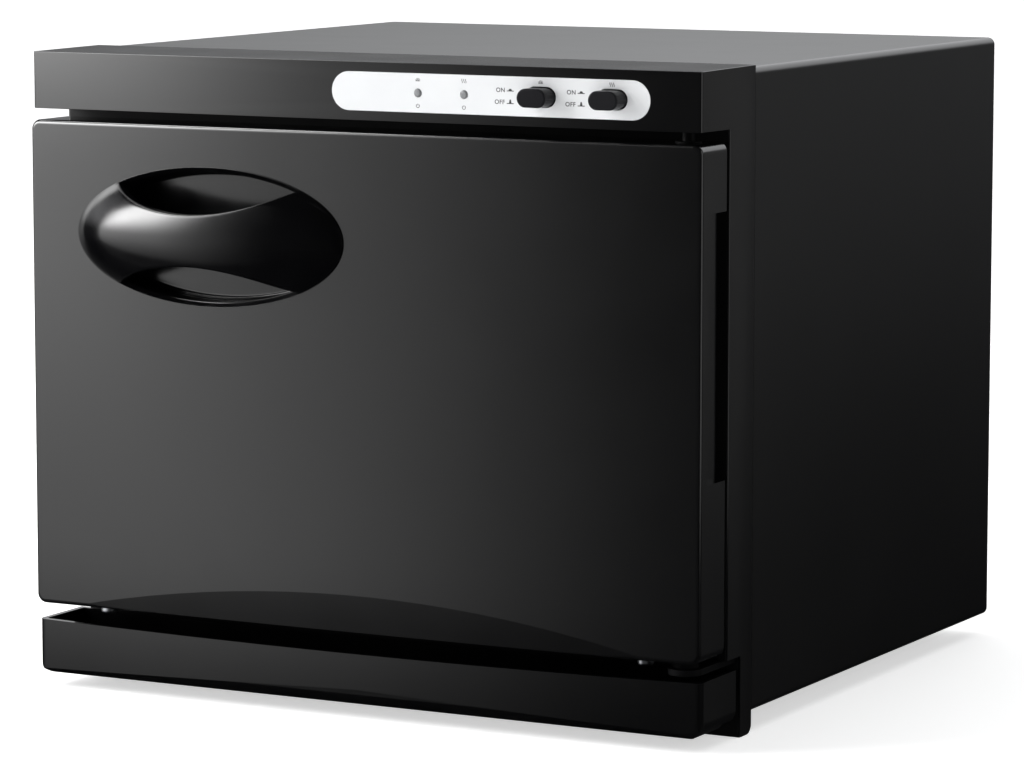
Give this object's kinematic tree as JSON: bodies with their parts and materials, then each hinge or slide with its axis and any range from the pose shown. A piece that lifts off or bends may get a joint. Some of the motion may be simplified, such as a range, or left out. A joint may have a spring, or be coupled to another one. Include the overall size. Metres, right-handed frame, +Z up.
{
  "type": "towel warmer",
  "caption": "Countertop hot-towel cabinet: steel box with plastic front, hinged door with oval bridge handle, two push buttons, pull-out drip tray and wire towel basket.",
  "frame": {"origin": "centre of the whole part's footprint, on the surface it stands on", "axes": "+X to the right as seen from the front, +Y from the door to the back, +Z up"},
  "size_m": [0.3016, 0.3242, 0.2615],
  "materials": {
    "black_plastic": "satin moulded ABS, black",
    "handle_black": "polished black ABS",
    "black_steel": "fine-textured black powder coat on sheet steel",
    "aluminium": "mill-finish aluminium sheet",
    "zinc_steel": "bright zinc-plated steel",
    "black_oxide": "black-oxidised steel",
    "chrome_wire": "chrome-plated wire",
    "rubber": "matt black rubber",
    "seal": "dark grey silicone",
    "foam": "light insulating felt board",
    "mat": "red silicone heating mat",
    "label": "white printed polycarbonate",
    "lens": "clear indicator lens",
    "tube_glass": "quartz glass tube with metal ends",
    "white_plastic": "white moulded plastic",
    "dark_plastic": "matt black moulded plastic",
    "board": "bare circuit board",
    "lead": "sleeved wires",
    "panel_white": "light grey moulded inner panel"
  },
  "bodies": {
    "root": {"front_frame": "black_plastic", "cabinet_cover": "black_steel", "base_plate": "zinc_steel", "rear_feet": "rubber", "rear_panel": "black_steel", "rear_panel_screws": "zinc_steel", "cord_gland": "dark_plastic", "gland_nut": "dark_plastic", "inner_liner": "aluminium", "frame_screws": "zinc_steel", "heater_mat_base": "mat", "heater_mat_left": "mat", "heater_mat_right": "mat", "insulation_top": "foam", "insulation_base": "foam", "insulation_left": "foam", "insulation_right": "foam", "insulation_rear": "foam", "liner_cradle": "zinc_steel", "thermostat": "dark_plastic", "thermal_fuse": "zinc_steel", "uv_lamp": "tube_glass", "lamp_holder_left": "white_plastic", "lamp_holder_right": "white_plastic", "lamp_guard": "aluminium", "uv_ballast": "zinc_steel", "terminal_block": "white_plastic", "switch_bracket": "zinc_steel", "switch_body_uv": "dark_plastic", "switch_body_heat": "dark_plastic", "indicator_lens_uv": "lens", "indicator_lens_heat": "lens", "indicator_board": "board", "control_label": "label", "switch_lead_uv": "lead", "switch_lead_heat": "lead", "hinge_bracket_lower": "black_steel", "hinge_screws": "zinc_steel", "hinge_pin_lower": "black_oxide", "hinge_pin_upper": "black_oxide", "magnet_catch": "dark_plastic"},
    "door": {"door_panel": "black_plastic", "door_screws": "zinc_steel", "hinge_bush_upper": "dark_plastic", "hinge_bush_lower": "dark_plastic", "door_inner_panel": "panel_white", "inner_panel_screws": "zinc_steel", "door_gasket": "seal", "strike_plate": "zinc_steel", "door_foam": "foam", "handle_dish": "handle_black", "handle_grip": "handle_black"},
    "uv_button": {"button_uv": "black_plastic"},
    "heat_button": {"button_heat": "black_plastic"},
    "tray": {"drip_tray": "black_plastic"},
    "basket": {"towel_basket": "chrome_wire"}
  },
  "joints": [
    {"name": "door_hinge", "type": "hinge", "parent": "root", "child": "door", "pos_m": [0.141, -0.13235, 0.1342], "axis": [0, 0, 1], "range_deg": [0, 110]},
    {"name": "uv_button_push", "type": "slide", "parent": "root", "child": "uv_button", "axis": [0, 1, 0], "range_m": [0, 0.0035], "stiffness_N_per_m": 600},
    {"name": "heat_button_push", "type": "slide", "parent": "root", "child": "heat_button", "axis": [0, 1, 0], "range_m": [0, 0.0035], "stiffness_N_per_m": 600},
    {"name": "tray_pull", "type": "slide", "parent": "root", "child": "tray", "axis": [0, -1, 0], "range_m": [0, 0.035]},
    {"name": "basket_lift", "type": "slide", "parent": "root", "child": "basket", "axis": [0, 0, 1], "range_m": [0, 0.03]}
  ]
}
